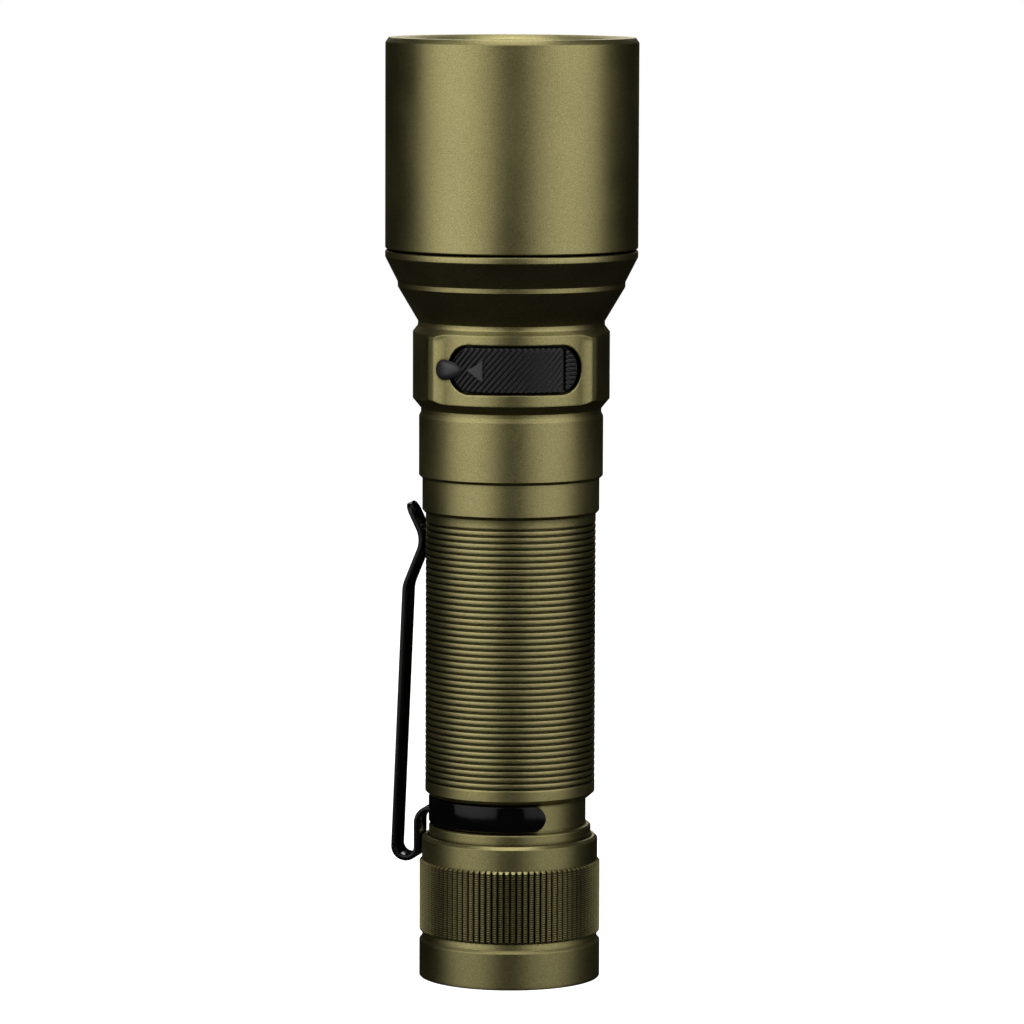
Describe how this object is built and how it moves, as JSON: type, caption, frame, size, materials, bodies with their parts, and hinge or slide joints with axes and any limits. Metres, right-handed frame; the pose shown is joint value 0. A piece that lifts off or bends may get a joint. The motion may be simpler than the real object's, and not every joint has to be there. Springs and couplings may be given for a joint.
{
  "type": "tactical flashlight",
  "caption": "Aluminium hand torch with ringed grip, knurled screw-on tail cap, tail and side buttons, covered charging port, pocket clip and a long smooth reflector head.",
  "frame": {"origin": "centre of the tail cap's flat end face, on the long axis", "axes": "+Z from the tail to the lens, -Y through the charging port, +Y through the side button, clip on the -X side"},
  "size_m": [0.04, 0.04, 0.1495],
  "materials": {
    "anodised_aluminium": "satin anodised, fine blasted grain",
    "black_spring_steel": "gloss black coating",
    "black_rubber": "matt",
    "button_rubber": "satin",
    "glass": "coated",
    "reflector_metal": "polished",
    "copper": "bare",
    "circuit_board": "solder mask",
    "electronic_black": "moulded",
    "plated_brass": "gold plated",
    "steel": "bright",
    "cell_filling": "dense filling of the cell",
    "cell_wrap": "heat shrink",
    "white_plastic": "moulded",
    "led_phosphor": "phosphor under silicone",
    "red_wire": "insulation",
    "black_wire": "insulation",
    "switch_red": "moulded"
  },
  "bodies": {
    "body": {"battery_tube": "anodised_aluminium", "tube_rear_oring": "black_rubber", "tube_front_oring": "black_rubber", "battery_can": "steel", "battery_core": "cell_filling", "battery_wrap": "cell_wrap", "battery_positive_cap": "steel", "head_base": "anodised_aluminium", "bezel_barrel": "anodised_aluminium", "bezel_oring": "black_rubber", "lens_gasket": "black_rubber", "lens_glass": "glass", "reflector": "reflector_metal", "led_centering_ring": "white_plastic", "led_emitter": "led_phosphor", "led_board": "copper", "led_board_screws": "steel", "led_lead_red": "red_wire", "led_lead_black": "black_wire", "driver_board": "circuit_board", "driver_components": "electronic_black", "driver_retaining_ring": "plated_brass", "positive_contact": "plated_brass", "charge_board": "circuit_board", "charge_pins": "plated_brass", "usb_c_shell": "steel", "usb_c_tongue": "electronic_black", "port_anchor": "black_rubber", "side_button_bezel": "anodised_aluminium", "side_switch_board": "circuit_board", "side_switch": "steel"},
    "tail_contact": {"tail_spring": "plated_brass"},
    "tailcap": {"tailcap_shell": "anodised_aluminium", "tail_retaining_ring": "plated_brass", "tail_board": "circuit_board", "tail_switch_housing": "electronic_black", "tail_seal": "black_rubber"},
    "tail_button": {"tail_button": "button_rubber", "tail_plunger": "switch_red"},
    "clip": {"clip_band": "black_spring_steel"},
    "clip_arm": {"clip_arm": "black_spring_steel"},
    "port_flap": {"port_flap": "black_rubber"},
    "side_button": {"side_button": "button_rubber"}
  },
  "joints": [
    {"name": "tailcap_travel", "type": "slide", "parent": "body", "child": "tail_contact", "axis": [0, 0, -1], "range_m": [0, 0.005]},
    {"name": "tailcap_turn", "type": "hinge", "parent": "tail_contact", "child": "tailcap", "pos_m": [0, 0, 0.01], "axis": [0, 0, 1], "range_deg": [0, 1800]},
    {"name": "tail_button_press", "type": "slide", "parent": "tailcap", "child": "tail_button", "axis": [0, 0, 1], "range_m": [0, 0.0015], "stiffness_N_per_m": 1500, "springref_m": -0.001},
    {"name": "side_button_press", "type": "slide", "parent": "body", "child": "side_button", "axis": [0, -1, 0], "range_m": [0, 0.0007], "stiffness_N_per_m": 2000, "springref_m": -0.0005},
    {"name": "port_flap_open", "type": "hinge", "parent": "body", "child": "port_flap", "pos_m": [-0.00988, -0.01275, 0.09822], "axis": [0, 0, -1], "range_deg": [0, 140]},
    {"name": "clip_turn", "type": "hinge", "parent": "body", "child": "clip", "pos_m": [0, 0, 0.02694], "axis": [0, 0, 1], "continuous": true},
    {"name": "clip_flex", "type": "hinge", "parent": "clip", "child": "clip_arm", "pos_m": [-0.01595, 0.00487, 0.01796], "axis": [-0.2924, -0.9563, 0], "range_deg": [0, 4], "stiffness_Nm_per_rad": 6, "springref_deg": -1.15}
  ],
  "couplings": [
    {"joint": "tailcap_turn", "follows": "tailcap_travel", "rad_per_m": 6283.2}
  ]
}
